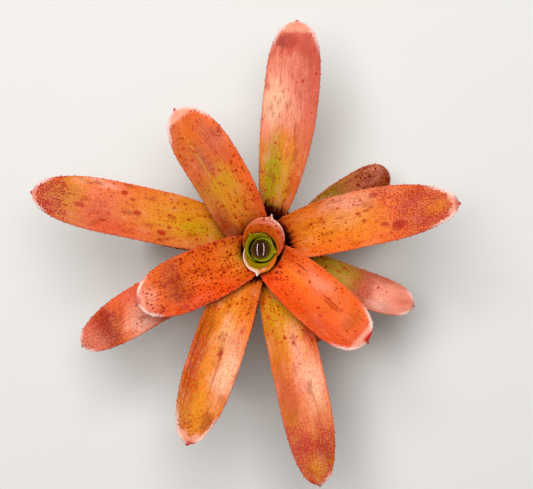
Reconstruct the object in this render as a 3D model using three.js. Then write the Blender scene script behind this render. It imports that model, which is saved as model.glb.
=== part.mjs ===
// A spotted tank bromeliad: a rosette of strap leaves whose broad sheaths overlap into a water tank,
// on a short stem that is cut flat at its foot. Millimetres, +Z up.
// The origin is the middle of the cut face, which is the face that the plant stands on.
import * as THREE from 'three';
import { mergeVertices } from 'three/addons/utils/BufferGeometryUtils.js';

// The stem: a tapering core that carries one leaf after another in a close spiral
const CUT_RADIUS = 13;
const STEM_FOOT_HEIGHT = 8;
const STEM_TOP_HEIGHT = 42;
const STEM_TOP_RADIUS = 4;
const STEM_SLOPE = 10 / 34;
const SCAR_HEIGHTS = [2.4, 4.6, 6.8];
const SCAR_DEPTH = 0.7;

// The tank: every leaf lies outside the one before it, so radius grows and heights fall leaf by leaf.
// The cup leaves end their sheaths almost level, so that their blades lie close together in a funnel
const TANK_RADIUS = 7;
const TANK_RADIUS_STEP = 1.7;
const RIM_HEIGHT = 78;
const RIM_STEP = 2.3;
const CUP_LEAVES = 4;
const CUP_RIM_HEIGHT = 72;
const CUP_RIM_STEP = 0.4;
const CUP_RADIUS_STEP = 1.4;
const NODE_HEIGHT = 41;
const NODE_STEP = 1.7;
const SEAT_GAP = 0.6;

// The leaf blade: thickness in the middle and at the edge, spine at the tip, teeth along both edges
const MID_THICKNESS = 0.85;
const EDGE_THICKNESS = 0.65;
const SPINE_LENGTH = 3;
const SPINE_TIP_HALF_WIDTH = 0.4;
const SPINE_FOOT_HALF_WIDTH = 1.8;
const TOOTH_SPACING = 9.5;
const TOOTH_HEIGHT = 0.7;
const TOOTH_HALF_LENGTH = 0.8;
const TOOTH_LEAN = 0.6;
const CURL_LENGTH = 9;
const RIPPLE_HEIGHT = 0.5;
const RIPPLE_LENGTH = 31;

// The pool of rain water in the innermost leaves
const WATER_LEVEL = 69.5;
const WATER_GAP = 0.8;
const MENISCUS = 0.5;
const MENISCUS_START = 0.8;

// How finely the faces are cut
const SHEATH_ROWS = 5;
const TIP_ROWS = [6.2, 3.4, 1.6, 0];
const TRACE_STEPS = 160;
const ROUND_SIDES = 24;

// What the leaves share unless their own line says otherwise. Angles are in degrees, curvatures in 1/mm.
// rise: slope of the blade's middle; fall: slope at its end; curl: how far the last millimetres turn down
// turn: swing just past the rim; sweep: swing over the whole blade; neck, widest, rounding, blunt: outline
// wrap: how far round the axis, in radians, half a sheath may go; opens: how far past the rim the blade
// keeps wrapping the axis; columns: how many cells wide the leaf is cut
const COMMON_LEAF = {
  wrap: 1.8, opens: 30, columns: 8, sheath: 28, settle: 0.14, droop: 2.5, curl: 55, channel: 0.008,
  hood: 0.02, turn: 0, sweep: 0, neck: 0.8, widest: 0.5, rounding: 0.36, blunt: 2.6, toothed: true,
};
const CUP_LEAF = {
  wrap: 2.4, opens: 80, columns: 14, curl: 0, neck: 1, rounding: 0.9, blunt: 2.2, toothed: false,
};

// The leaves from the youngest to the oldest, about 137.5 degrees further round each time.
// azimuth: where the blade leaves the tank; reach: axis to tip seen from above
const LEAVES = [
  {
    name: 'cup_leaf_1', azimuth: 350, reach: 11, width: 32, rise: 48, fall: 44,
    ...CUP_LEAF, wrap: 2.9, columns: 17, settle: 0.3, sheath: 21, colour: '#9a8a28',
  },
  {
    name: 'cup_leaf_2', azimuth: 125, reach: 13.5, width: 37, rise: 44, fall: 40,
    ...CUP_LEAF, wrap: 2.9, columns: 17, settle: 0.2, sheath: 25, colour: '#a08c2c',
  },
  {
    name: 'cup_leaf_3', azimuth: 263, reach: 18.5, width: 35, rise: 47, fall: 32,
    ...CUP_LEAF, settle: 0.22, sheath: 24, colour: '#b98a3a',
  },
  {
    name: 'cup_leaf_4', azimuth: 72, reach: 25.5, width: 41, rise: 44, fall: 20,
    ...CUP_LEAF, settle: 0.15, sheath: 25, colour: '#c9713a',
  },
  {
    name: 'upper_leaf_1', azimuth: 204, reach: 94, width: 39, rise: 26, fall: -4,
    widest: 0.45, rounding: 0.42, blunt: 2.4, colour: '#d9662c',
  },
  {
    name: 'upper_leaf_2', azimuth: 319, reach: 99, width: 38, rise: 26, fall: -4,
    neck: 0.75, blunt: 2.8, colour: '#d95a2c',
  },
  {
    name: 'upper_leaf_3', azimuth: 121, reach: 114, width: 38, rise: 24, fall: -4,
    turn: -9, sweep: 17, colour: '#d7602c',
  },
  {
    name: 'upper_leaf_4', azimuth: 237, reach: 144, width: 36, rise: 20, fall: -6,
    turn: 14, sweep: 1.5, neck: 0.7, rounding: 0.42, blunt: 2.4, colour: '#cf6a30',
  },
  {
    name: 'upper_leaf_5', azimuth: 21.5, reach: 142, width: 38.5, rise: 18, fall: -6,
    turn: -3, sweep: -13, neck: 0.72, widest: 0.42, rounding: 0.45, blunt: 2.2, colour: '#cf622f',
  },
  {
    name: 'middle_leaf_1', azimuth: 155, reach: 164, width: 36.5, rise: 14, fall: -8,
    turn: 11, sweep: 4, neck: 0.52, widest: 0.42, rounding: 0.38, blunt: 2.8, colour: '#c85e38',
  },
  {
    name: 'middle_leaf_2', azimuth: 292.5, reach: 169.5, width: 34.5, rise: 12, fall: -8,
    turn: -6, sweep: -7.5, neck: 0.68, rounding: 0.4, blunt: 2.8, colour: '#cc6a44',
  },
  {
    name: 'middle_leaf_3', azimuth: 72, reach: 162, width: 37.8, rise: 12, fall: -10,
    turn: 6, sweep: 9, neck: 0.36, widest: 0.6, rounding: 0.34, blunt: 3.4, colour: '#c8604a',
  },
  {
    name: 'lower_leaf_1', azimuth: 203, reach: 144, width: 32, rise: 4, fall: -18,
    sweep: 13, neck: 0.7, widest: 0.45, rounding: 0.42, colour: '#b85040',
  },
  {
    name: 'lower_leaf_2', azimuth: 338.5, reach: 117, width: 25, rise: 0, fall: -22,
    sweep: 3, neck: 1, widest: 0.4, rounding: 0.34, colour: '#b5674a',
  },
  { name: 'lower_leaf_3', azimuth: 122, reach: 90, width: 27, rise: -6, fall: -44, colour: '#8f6a3a' },
  { name: 'lower_leaf_4', azimuth: 250, reach: 95, width: 27, rise: -8, fall: -48, colour: '#8f6a3a' },
  {
    name: 'lower_leaf_5', azimuth: 31, reach: 108, width: 25.5, rise: -6, fall: -34,
    neck: 0.42, sweep: 2, colour: '#94623c',
  },
  { name: 'lower_leaf_6', azimuth: 167, reach: 84, width: 26, rise: -20, fall: -66, colour: '#84653a' },
  {
    name: 'lower_leaf_7', azimuth: 302, reach: 79, width: 26, rise: -32, fall: -60,
    neck: 0.85, colour: '#7d6038',
  },
];
const STEM_COLOUR = '#8a7a52';
const WATER_COLOUR = '#2e2418';
const LEAF_ROUGHNESS = 0.38;

const { degToRad, lerp, smoothstep, clamp } = THREE.MathUtils;

function stemRadius(height) {
  return STEM_TOP_RADIUS + (STEM_TOP_HEIGHT - height) * STEM_SLOPE;
}

function rimHeight(index) {
  return index < CUP_LEAVES ? CUP_RIM_HEIGHT - CUP_RIM_STEP * index : RIM_HEIGHT - RIM_STEP * index;
}

// The sheath's middle line: a quarter ellipse that leaves the stem level and meets the tank wall upright
function sheathLine(index, leaf) {
  const facetHalfAngle = leaf.wrap / leaf.columns;
  const nodeHeight = NODE_HEIGHT - NODE_STEP * index;
  const nodeRadius = (stemRadius(nodeHeight) + SEAT_GAP) / Math.cos(facetHalfAngle);
  const rimRadius = TANK_RADIUS + (index < CUP_LEAVES ? CUP_RADIUS_STEP : TANK_RADIUS_STEP) * index;
  const rise = rimHeight(index) - nodeHeight;
  const run = rimRadius - nodeRadius;
  const points = [];
  for (let k = 0; k <= TRACE_STEPS / 4; k += 1) {
    const angle = (Math.PI / 2) * (k / (TRACE_STEPS / 4));
    points.push({
      radius: nodeRadius + run * Math.sin(angle),
      height: nodeHeight + rise * (1 - Math.cos(angle)),
      s: 0,
    });
  }
  for (let k = 1; k < points.length; k += 1) {
    const last = points[k - 1];
    points[k].s = last.s + Math.hypot(points[k].radius - last.radius, points[k].height - last.height);
  }
  return points;
}

// The slope of the blade, from upright at the rim to its own rise, fall and turned-down end
function bladeSlope(leaf, t, length) {
  const settled = leaf.rise + (90 - leaf.rise) * Math.exp(-t / leaf.settle);
  const drooped = settled + (leaf.fall - leaf.rise) * t ** leaf.droop;
  return degToRad(drooped - leaf.curl * smoothstep(t, 1 - CURL_LENGTH / length, 1));
}

function bladeLine(leaf, start, length) {
  const points = [];
  const place = new THREE.Vector3(
    start.radius * Math.cos(degToRad(leaf.azimuth)),
    start.radius * Math.sin(degToRad(leaf.azimuth)),
    start.height,
  );
  for (let k = 0; k <= TRACE_STEPS; k += 1) {
    const t = k / TRACE_STEPS;
    const slope = bladeSlope(leaf, t, length);
    const heading = degToRad(leaf.azimuth + leaf.sweep * t + leaf.turn * smoothstep(t, 0, 0.2));
    if (k > 0) {
      const before = points[k - 1];
      const midSlope = (slope + before.slope) / 2;
      const midHeading = (heading + before.heading) / 2;
      const step = length / TRACE_STEPS;
      place.x += step * Math.cos(midSlope) * Math.cos(midHeading);
      place.y += step * Math.cos(midSlope) * Math.sin(midHeading);
      place.z += step * Math.sin(midSlope);
    }
    points.push({ place: place.clone(), slope, heading });
  }
  return points;
}

// The blade's length follows from its reach, found by halving
function bladeOfReach(leaf, start) {
  let short = 5;
  let long = 260;
  for (let round = 0; round < 30; round += 1) {
    const length = (short + long) / 2;
    const end = bladeLine(leaf, start, length)[TRACE_STEPS].place;
    if (Math.hypot(end.x, end.y) < leaf.reach) {
      short = length;
    } else {
      long = length;
    }
  }
  return { length: long, line: bladeLine(leaf, start, long) };
}

// One leaf as a surface: s runs along its midrib from the stem, w across it
class LeafSurface {
  constructor(leaf, index) {
    this.leaf = { ...COMMON_LEAF, ...leaf };
    this.index = index;
    this.sheath = sheathLine(index, this.leaf);
    this.rim = this.sheath[this.sheath.length - 1];
    const blade = bladeOfReach(this.leaf, this.rim);
    this.blade = blade.line;
    this.bladeLength = blade.length;
    this.total = this.rim.s + blade.length;
  }

  sheathAt(s) {
    const next = Math.max(1, this.sheath.findIndex((point) => point.s >= s));
    const a = this.sheath[next - 1];
    const b = this.sheath[next];
    const part = (s - a.s) / (b.s - a.s);
    return { radius: lerp(a.radius, b.radius, part), height: lerp(a.height, b.height, part) };
  }

  halfWidth(s) {
    const { leaf, rim, total, bladeLength } = this;
    const widest = leaf.width / 2;
    if (s < rim.s) {
      const sheath = Math.min(leaf.sheath, leaf.wrap * this.sheathAt(s).radius);
      return lerp(sheath, leaf.neck * widest, smoothstep(s / rim.s, 0.4, 1));
    }
    const t = (s - rim.s) / bladeLength;
    const swell = lerp(leaf.neck, 1, Math.sin((Math.PI / 2) * Math.min(1, t / leaf.widest)));
    const bodyEnd = total - SPINE_LENGTH;
    const roundLength = leaf.rounding * bladeLength;
    const into = clamp((s - bodyEnd + roundLength) / roundLength, 0, 1);
    const body = widest * swell * Math.sqrt(1 - into ** leaf.blunt);
    const alongSpine = Math.max(0, total - s) / SPINE_LENGTH;
    const spine = SPINE_TIP_HALF_WIDTH + (SPINE_FOOT_HALF_WIDTH - SPINE_TIP_HALF_WIDTH) * alongSpine ** 1.5;
    return s > bodyEnd - 2 * SPINE_LENGTH ? Math.max(body, Math.min(spine, 3 * SPINE_FOOT_HALF_WIDTH)) : body;
  }

  // Near the tank the leaf is wrapped round the axis; further out it is a channel that arches at the tip
  point(s, w) {
    const { leaf, rim, bladeLength } = this;
    if (s <= rim.s) {
      const { radius, height } = this.sheathAt(s);
      const angle = degToRad(leaf.azimuth) + w / radius;
      return new THREE.Vector3(radius * Math.cos(angle), radius * Math.sin(angle), height);
    }
    const t = Math.min(1, (s - rim.s) / bladeLength);
    const k = Math.min(TRACE_STEPS - 1, Math.floor(t * TRACE_STEPS));
    const part = t * TRACE_STEPS - k;
    const a = this.blade[k];
    const b = this.blade[k + 1];
    const centre = a.place.clone().lerp(b.place, part);
    const slope = lerp(a.slope, b.slope, part);
    const heading = lerp(a.heading, b.heading, part);
    const radius = Math.hypot(centre.x, centre.y);
    const wrapped = centre.clone().applyAxisAngle(new THREE.Vector3(0, 0, 1), w / radius);
    const across = new THREE.Vector3(-Math.sin(heading), Math.cos(heading), 0);
    const up = new THREE.Vector3(
      -Math.sin(slope) * Math.cos(heading),
      -Math.sin(slope) * Math.sin(heading),
      Math.cos(slope),
    );
    const channel = leaf.channel * smoothstep(t, 0, 0.3) * (1 - smoothstep(t, 0.45, 0.8));
    const bow = Math.max(0, Math.sin(slope)) / radius + channel - leaf.hood * smoothstep(t, 0.55, 1) + 1e-6;
    const free = smoothstep(s - rim.s, 0, leaf.opens);
    const ripple = RIPPLE_HEIGHT * free * (w / (leaf.width / 2)) ** 2
      * Math.sin((2 * Math.PI * s) / RIPPLE_LENGTH + this.index + Math.sign(w));
    const arched = centre.clone()
      .addScaledVector(across, Math.sin(bow * w) / bow)
      .addScaledVector(up, (1 - Math.cos(bow * w)) / bow + ripple);
    return wrapped.lerp(arched, free);
  }

  // Unit normal of the upper face and unit direction across the leaf, from close neighbours
  frame(s, w) {
    const reach = 0.2;
    const from = Math.max(0, Math.min(s, this.total - reach) - reach);
    const along = this.point(from + 2 * reach, w).sub(this.point(from, w)).normalize();
    const across = this.point(s, w + reach).sub(this.point(s, w - reach)).normalize();
    return { along, across, normal: along.clone().cross(across).normalize() };
  }
}

// A closed body made of pairs of points, one on the upper face and one below it
class LeafBody {
  constructor(surface) {
    this.surface = surface;
    this.positions = [];
    this.triangles = [];
  }

  point(place) {
    this.positions.push(place.x, place.y, place.z);
    return this.positions.length / 3 - 1;
  }

  pair(s, side) {
    const w = side * this.surface.halfWidth(s);
    const upper = this.surface.point(s, w);
    const thickness = lerp(MID_THICKNESS, EDGE_THICKNESS, side * side);
    const lower = upper.clone().addScaledVector(this.surface.frame(s, w).normal, -thickness);
    const first = this.point(upper);
    this.point(lower);
    return first;
  }

  // Both faces get the same triangles, so that they never cross
  faces(a, b, c) {
    this.triangles.push(a, b, c, a + 1, c + 1, b + 1);
  }

  wall(a, b) {
    this.triangles.push(a, a + 1, b + 1, a, b + 1, b);
  }

  tooth(a, b, s, side) {
    const w = side * this.surface.halfWidth(s);
    const { along, across, normal } = this.surface.frame(s, w);
    const apex = this.surface.point(s, w)
      .addScaledVector(across, Math.sign(side) * TOOTH_HEIGHT)
      .addScaledVector(along, TOOTH_LEAN)
      .addScaledVector(normal, -EDGE_THICKNESS / 2);
    const top = this.point(apex);
    this.triangles.push(a, a + 1, top, a + 1, b + 1, top, b + 1, b, top, b, a, top);
  }

  // A cell at the leaf's edge: chain is its outer side, and the fan starts from the last inner corner
  edgeCell(chain, innerNext, innerLast) {
    const outline = [...chain, innerNext];
    for (let k = 0; k + 1 < outline.length; k += 1) {
      this.faces(innerLast, outline[k], outline[k + 1]);
    }
  }
}

function rowStations(surface) {
  const stations = [];
  for (let k = 0; k < SHEATH_ROWS; k += 1) {
    stations.push((surface.rim.s * k) / SHEATH_ROWS);
  }
  const last = surface.total - TIP_ROWS[0];
  const count = Math.max(2, Math.round((last - surface.rim.s) / TOOTH_SPACING));
  for (let k = 0; k < count; k += 1) {
    stations.push(lerp(surface.rim.s, last, k / count));
  }
  for (const beforeTip of TIP_ROWS) {
    stations.push(surface.total - beforeTip);
  }
  return stations;
}

// Teeth stand on the free blade, from a tooth space past the rim to the start of the tip rows
function hasTooth(surface, from, to) {
  return surface.leaf.toothed && from > surface.rim.s + TOOTH_SPACING && to <= surface.total - TIP_ROWS[0];
}

function leafGeometry(surface) {
  const { columns } = surface.leaf;
  const body = new LeafBody(surface);
  const stations = rowStations(surface);
  const rows = stations.map((s) => {
    const row = [];
    for (let column = 0; column <= columns; column += 1) {
      row.push(body.pair(s, (2 * column) / columns - 1));
    }
    return row;
  });
  for (let k = 0; k + 1 < rows.length; k += 1) {
    const from = rows[k];
    const to = rows[k + 1];
    for (let column = 1; column < columns - 1; column += 1) {
      body.faces(from[column], to[column], to[column + 1]);
      body.faces(from[column], to[column + 1], from[column + 1]);
    }
    for (const side of [-1, 1]) {
      const chain = side < 0 ? [from[0], to[0]] : [to[columns], from[columns]];
      const inner = side < 0 ? [to[1], from[1]] : [from[columns - 1], to[columns - 1]];
      if (hasTooth(surface, stations[k], stations[k + 1])) {
        const middle = lerp(stations[k], stations[k + 1], side < 0 ? 0.45 : 0.6);
        const first = body.pair(middle + side * TOOTH_HALF_LENGTH, side);
        const second = body.pair(middle - side * TOOTH_HALF_LENGTH, side);
        chain.splice(1, 0, first, second);
        body.wall(chain[0], first);
        body.tooth(first, second, middle, side);
        body.wall(second, chain[3]);
      } else {
        body.wall(chain[0], chain[1]);
      }
      body.edgeCell(chain, inner[0], inner[1]);
    }
  }
  const tip = rows[rows.length - 1];
  for (let column = 0; column < columns; column += 1) {
    body.wall(tip[column], tip[column + 1]);
    body.wall(rows[0][column + 1], rows[0][column]);
  }
  const geometry = new THREE.BufferGeometry();
  geometry.setAttribute('position', new THREE.Float32BufferAttribute(body.positions, 3));
  geometry.setIndex(body.triangles);
  geometry.computeVertexNormals();
  return geometry;
}

// A profile of [radius, height] points turned round the plant's axis
function turnedGeometry(profile) {
  const points = profile.map(([radius, height]) => new THREE.Vector2(radius, height));
  const lathe = new THREE.LatheGeometry(points, ROUND_SIDES);
  lathe.deleteAttribute('normal');
  lathe.deleteAttribute('uv');
  lathe.rotateX(Math.PI / 2);
  const geometry = mergeVertices(lathe, 1e-4);
  geometry.computeVertexNormals();
  return geometry;
}

// The stem widens a little above the cut, is ringed by the scars of shed leaves, and tapers to its tip
function stemGeometry() {
  const profile = [[0, 0], [CUT_RADIUS, 0]];
  for (const height of SCAR_HEIGHTS) {
    const radius = lerp(CUT_RADIUS, stemRadius(STEM_FOOT_HEIGHT), height / STEM_FOOT_HEIGHT);
    profile.push([radius, height - SCAR_DEPTH], [radius - SCAR_DEPTH, height]);
  }
  profile.push([stemRadius(STEM_FOOT_HEIGHT), STEM_FOOT_HEIGHT]);
  profile.push([STEM_TOP_RADIUS, STEM_TOP_HEIGHT], [0, STEM_TOP_HEIGHT]);
  return turnedGeometry(profile);
}

// The water fills the innermost bowl up to its level, and stands a little higher where it meets the leaf
function waterGeometry() {
  const innermost = { ...COMMON_LEAF, ...LEAVES[0] };
  const line = sheathLine(0, innermost).filter((point) => point.height < WATER_LEVEL);
  const bottom = STEM_TOP_HEIGHT + SEAT_GAP;
  const profile = [[0, bottom], [STEM_TOP_RADIUS, bottom]];
  for (let k = 1; k < line.length; k += 4) {
    if (line[k].height > bottom + 1) {
      profile.push([line[k].radius - WATER_GAP, line[k].height]);
    }
  }
  const wallRadius = line[line.length - 1].radius - WATER_GAP;
  profile.push([wallRadius, WATER_LEVEL]);
  profile.push([wallRadius * MENISCUS_START, WATER_LEVEL - MENISCUS], [0, WATER_LEVEL - MENISCUS]);
  return turnedGeometry(profile);
}

function mesh(name, geometry, colour, roughness) {
  const material = new THREE.MeshStandardMaterial({ color: colour, roughness, metalness: 0 });
  const part = new THREE.Mesh(geometry, material);
  part.name = name;
  return part;
}

const plant = new THREE.Group();
plant.add(mesh('stem', stemGeometry(), STEM_COLOUR, 0.85));
plant.add(mesh('tank_water', waterGeometry(), WATER_COLOUR, 0.05));
LEAVES.forEach((leaf, index) => {
  plant.add(mesh(leaf.name, leafGeometry(new LeafSurface(leaf, index)), leaf.colour, LEAF_ROUGHNESS));
});

export default plant;
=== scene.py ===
import math

import bmesh
import bpy
import numpy as np
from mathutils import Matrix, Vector, noise


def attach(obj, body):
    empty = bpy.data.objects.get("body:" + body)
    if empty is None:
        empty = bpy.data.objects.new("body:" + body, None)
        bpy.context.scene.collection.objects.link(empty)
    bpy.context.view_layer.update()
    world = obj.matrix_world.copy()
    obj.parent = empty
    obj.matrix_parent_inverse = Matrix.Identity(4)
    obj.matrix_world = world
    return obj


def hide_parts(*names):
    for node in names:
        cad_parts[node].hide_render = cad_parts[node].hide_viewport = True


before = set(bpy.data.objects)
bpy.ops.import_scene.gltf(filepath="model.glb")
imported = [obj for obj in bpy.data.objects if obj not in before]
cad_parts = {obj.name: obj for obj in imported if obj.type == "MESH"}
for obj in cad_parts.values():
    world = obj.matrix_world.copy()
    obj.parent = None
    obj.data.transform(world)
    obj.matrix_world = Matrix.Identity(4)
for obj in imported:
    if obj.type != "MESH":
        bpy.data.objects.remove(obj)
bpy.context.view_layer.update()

# The stem is the short woody core that the leaves grow from, one above another in a close spiral.
# It was sawn through below the lowest living leaf, and carries the ring scars of the leaves it has shed.
MM = 0.001
CUT_RADIUS = 13 * MM
STEM_FOOT_HEIGHT = 8 * MM
STEM_TOP_HEIGHT = 42 * MM
STEM_TOP_RADIUS = 4 * MM
STEM_SLOPE = 10 / 34
SCAR_HEIGHTS = [2.4 * MM, 4.6 * MM, 6.8 * MM]
SCAR_DEPTH = 0.7 * MM
SCAR_SHOULDER = 0.7
SCAR_LIP = 0.25 * MM
FACE_RINGS = 8
CORE_RINGS = 24
ROUND_STEPS = 120
FIBRE_RELIEF = 0.22 * MM
FIBRE_SINK = 0.6
FIBRE_CIRCLE = 9
FIBRE_LENGTH = 6 * MM
FLAT_FACE_HEIGHT = 0.1 * MM
STRAND_SPACING = 0.5 * MM
STRAND_LENGTH = 9 * MM
STRAND_END_SPACING = 0.9 * MM


def linear(colour):
    """An sRGB hex colour as the linear colour that a shader takes."""
    channels = [int(colour[k:k + 2], 16) / 255 for k in (1, 3, 5)]
    return (*[c / 12.92 if c <= 0.04045 else ((c + 0.055) / 1.055) ** 2.4 for c in channels], 1)


def add_node(tree, kind, links=None, stops=None, **settings):
    """Adds one node with its settings. links joins or sets its inputs, where a node stands for its first
    output, and stops are a ramp's colours."""
    made = tree.nodes.new("ShaderNode" + kind)
    for name, value in settings.items():
        setattr(made, name, value)
    for socket, value in (links or {}).items():
        if isinstance(value, bpy.types.Node):
            value = value.outputs[0]
        if isinstance(value, bpy.types.NodeSocket):
            tree.links.new(value, made.inputs[socket])
        else:
            made.inputs[socket].default_value = value
    if stops:
        ramp = made.color_ramp
        while len(ramp.elements) < len(stops):
            ramp.elements.new(1)
        for element, (place, colour) in zip(ramp.elements, stops):
            element.position = place
            element.color = linear(colour)
    return made


def new_material(name, **surface):
    """A material with only its surface shader, whose even values are set on its sockets."""
    material = bpy.data.materials.new(name)
    material.use_nodes = True
    shader = material.node_tree.nodes["Principled BSDF"]
    for socket, value in surface.items():
        shader.inputs[socket.replace("_", " ")].default_value = value
    return material, material.node_tree, shader


def finish_piece(bm, name, material, node):
    """Turns a bmesh into a smooth piece that rides on the plant and stands for its CAD node."""
    mesh = bpy.data.meshes.new(name)
    bm.to_mesh(mesh)
    bm.free()
    mesh.materials.append(material)
    mesh.shade_smooth()
    piece = bpy.data.objects.new(name, mesh)
    bpy.context.scene.collection.objects.link(piece)
    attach(piece, "root")
    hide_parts(node)


def turned(profile):
    """A bmesh of a profile of [radius, height] turned round the plant's axis, closed and facing out."""
    bm = bmesh.new()
    points = [bm.verts.new((radius, 0, height)) for radius, height in profile]
    edges = [bm.edges.new(pair) for pair in zip(points, points[1:])]
    bmesh.ops.spin(
        bm, geom=points + edges, axis=(0, 0, 1), cent=(0, 0, 0),
        angle=2 * math.pi, steps=ROUND_STEPS, use_merge=True,
    )
    bmesh.ops.remove_doubles(bm, verts=bm.verts, dist=0.001 * MM)
    bmesh.ops.recalc_face_normals(bm, faces=bm.faces)
    return bm


def stem_radius(height):
    return STEM_TOP_RADIUS + (STEM_TOP_HEIGHT - height) * STEM_SLOPE


def stem_profile():
    face = [[CUT_RADIUS * k / FACE_RINGS, 0] for k in range(FACE_RINGS + 1)]
    scars = []
    for height in SCAR_HEIGHTS:
        radius = CUT_RADIUS + (stem_radius(STEM_FOOT_HEIGHT) - CUT_RADIUS) * height / STEM_FOOT_HEIGHT
        scars += [
            [radius, height - SCAR_DEPTH - SCAR_LIP],
            [radius - SCAR_DEPTH * SCAR_SHOULDER, height - SCAR_LIP],
            [radius - SCAR_DEPTH, height],
        ]
    core = []
    for k in range(CORE_RINGS + 1):
        height = STEM_FOOT_HEIGHT + (STEM_TOP_HEIGHT - STEM_FOOT_HEIGHT) * k / CORE_RINGS
        core.append([stem_radius(height), height])
    return face + scars + core + [[STEM_TOP_RADIUS / 2, STEM_TOP_HEIGHT], [0, STEM_TOP_HEIGHT]]


# Fibrous core tissue as the saw left it: tan and dry outside, paler and dotted with cut strands on the face
def stem_material():
    material, tree, shader = new_material("sawn_fibrous_stem", Roughness=0.82)
    place = add_node(tree, "TexCoord").outputs["Object"]
    # Strands run up the stem, so their pattern is stretched upwards
    strand_scale = (1 / STRAND_SPACING, 1 / STRAND_SPACING, 1 / STRAND_LENGTH)
    strands = add_node(tree, "Mapping", {"Vector": place, "Scale": strand_scale})
    grain = add_node(tree, "TexNoise", {"Vector": strands, "Scale": 1, "Detail": 3})
    wall = add_node(tree, "ValToRGB", {0: grain}, stops=[
        (0.3, "#4a3a22"), (0.5, "#86744a"), (0.7, "#b5a172"),
    ])
    # The ends of the thicker strands show as dark dots on the sawn face
    cut = add_node(tree, "Mapping", {"Vector": place, "Scale": (1 / STRAND_END_SPACING,) * 3})
    dots = add_node(tree, "TexVoronoi", {"Vector": cut, "Scale": 1}, voronoi_dimensions="2D")
    face = add_node(tree, "ValToRGB", {0: dots}, stops=[(0.1, "#6b5230"), (0.3, "#c4ad7c"), (1, "#d8c698")])
    height = add_node(tree, "SeparateXYZ", {0: place}).outputs["Z"]
    on_face = add_node(tree, "MapRange", {"Value": height, "From Min": 0.2 * MM, "From Max": 0.05 * MM})
    both = add_node(tree, "Mix", {0: on_face, 6: wall, 7: face}, data_type="RGBA").outputs[2]
    tree.links.new(both, shader.inputs["Base Color"])
    relief = add_node(tree, "Bump", {"Height": grain, "Strength": 0.6, "Distance": 0.25 * MM})
    tree.links.new(relief.outputs[0], shader.inputs["Normal"])
    return material


# The fibres stand in low ridges that run up the stem, and the sawn face stays flat
stem = turned(stem_profile())
for vert in stem.verts:
    outward = Vector((vert.co.x, vert.co.y, 0))
    if vert.co.z > FLAT_FACE_HEIGHT and outward.length > STEM_TOP_RADIUS / 2:
        around = math.atan2(vert.co.y, vert.co.x)
        cell = (FIBRE_CIRCLE * math.cos(around), FIBRE_CIRCLE * math.sin(around), vert.co.z / FIBRE_LENGTH)
        vert.co += outward.normalized() * FIBRE_RELIEF * (noise.noise(cell) - FIBRE_SINK)
finish_piece(stem, "sawn_stem", stem_material(), "stem")

# The innermost sheaths close into a cup that holds rain water, brown from the litter that falls in it.
# The water wets the leaf, so its surface climbs the wall in a curved lip and is lowest in the middle.
# The sizes of the water and the leaves are in millimetres, and are scaled when a mesh is made.
TANK_RADIUS = 7
TANK_RADIUS_STEP = 1.7
RIM_HEIGHT = 78
RIM_STEP = 2.3
CUP_SIZE = 4
CUP_RIM_HEIGHT = 72
CUP_RIM_STEP = 0.4
CUP_RADIUS_STEP = 1.4
NODE_HEIGHT = 41
NODE_STEP = 1.7
SEAT_GAP = 0.63
SHEATH_POINTS = 41
WATER_LEVEL = 69.5
WATER_GAP = 0.15
WATER_BOTTOM = 42.6
WATER_SIDE_START = 43.6
WATER_RINGS = 28
LIP_HEIGHT = 1.8
LIP_LENGTH = 3.2


def sheath_line(order):
    """A sheath's middle line: radius, height and length along it, on a quarter of an ellipse."""
    quarter = np.linspace(0, math.pi / 2, SHEATH_POINTS)
    node_height = NODE_HEIGHT - NODE_STEP * order
    node_radius = stem_radius(node_height * MM) / MM + SEAT_GAP
    # The cup's sheaths end almost level, so that its blades lie close together in a funnel
    in_cup = order < CUP_SIZE
    rim_radius = TANK_RADIUS + (CUP_RADIUS_STEP if in_cup else TANK_RADIUS_STEP) * order
    rim_height = CUP_RIM_HEIGHT - CUP_RIM_STEP * order if in_cup else RIM_HEIGHT - RIM_STEP * order
    radius = node_radius + (rim_radius - node_radius) * np.sin(quarter)
    height = node_height + (rim_height - node_height) * (1 - np.cos(quarter))
    along = np.concatenate([[0], np.cumsum(np.hypot(np.diff(radius), np.diff(height)))])
    return radius, height, along


def water_profile():
    radius, height, _ = sheath_line(0)
    wet = (height > WATER_SIDE_START) & (height < WATER_LEVEL)
    side = [[r - WATER_GAP, h] for r, h in zip(radius[wet][::2], height[wet][::2])]
    wall = radius[wet][-1] - WATER_GAP
    surface = []
    for k in range(WATER_RINGS, -1, -1):
        r = wall * k / WATER_RINGS
        climb = (math.cosh(r / LIP_LENGTH) - 1) / (math.cosh(wall / LIP_LENGTH) - 1)
        surface.append([r, WATER_LEVEL - LIP_HEIGHT * (1 - climb)])
    outline = [[0, WATER_BOTTOM], [STEM_TOP_RADIUS / MM, WATER_BOTTOM]] + side + surface
    return [[r * MM, h * MM] for r, h in outline]


# Still rain water, tea-brown and dark in the middle, paler where the leaf shows through at the wall
def water_material():
    material, tree, shader = new_material(
        "still_brown_rain_water", Roughness=0.02, IOR=1.333, Specular_IOR_Level=0.6,
    )
    place = add_node(tree, "TexCoord").outputs["Object"]
    across = add_node(tree, "Mapping", {"Vector": place, "Scale": (1, 1, 0)})
    radius = add_node(tree, "VectorMath", {0: across}, operation="LENGTH").outputs["Value"]
    part = add_node(tree, "MapRange", {"Value": radius, "From Max": TANK_RADIUS * MM})
    colour = add_node(tree, "ValToRGB", {0: part}, stops=[
        (0, "#341000"), (0.6, "#421a00"), (0.85, "#4c3002"), (1, "#6c5c08"),
    ])
    tree.links.new(colour.outputs[0], shader.inputs["Base Color"])
    return material


finish_piece(turned(water_profile()), "rain_water", water_material(), "tank_water")

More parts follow.
